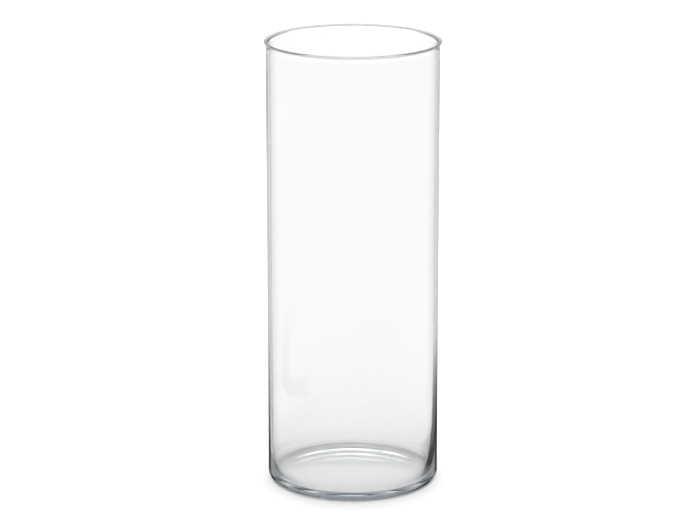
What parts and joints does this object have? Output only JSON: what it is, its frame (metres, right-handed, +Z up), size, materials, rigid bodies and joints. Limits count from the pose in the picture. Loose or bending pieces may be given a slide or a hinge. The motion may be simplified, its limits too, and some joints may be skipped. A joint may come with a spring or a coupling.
{
  "type": "glass cylinder vase",
  "caption": "Tall straight cylinder vase in clear glass, open at the top with a rounded bead lip, and closed at the bottom by a thicker base with a rounded heel.",
  "frame": {"origin": "middle of the flat ring that the vase stands on, at table height", "axes": "+Z up along the vase's own axis, out of the mouth; the shape is round, so +X and +Y are any two level directions, with -Y towards the viewer"},
  "size_m": [0.1038, 0.1038, 0.2667],
  "materials": {
    "clear_glass": "clear, polished, colourless soda-lime glass with a faint cool tint where it is thick"
  },
  "bodies": {
    "root": {"base": "clear_glass", "wall": "clear_glass", "rim": "clear_glass"}
  },
  "joints": []
}
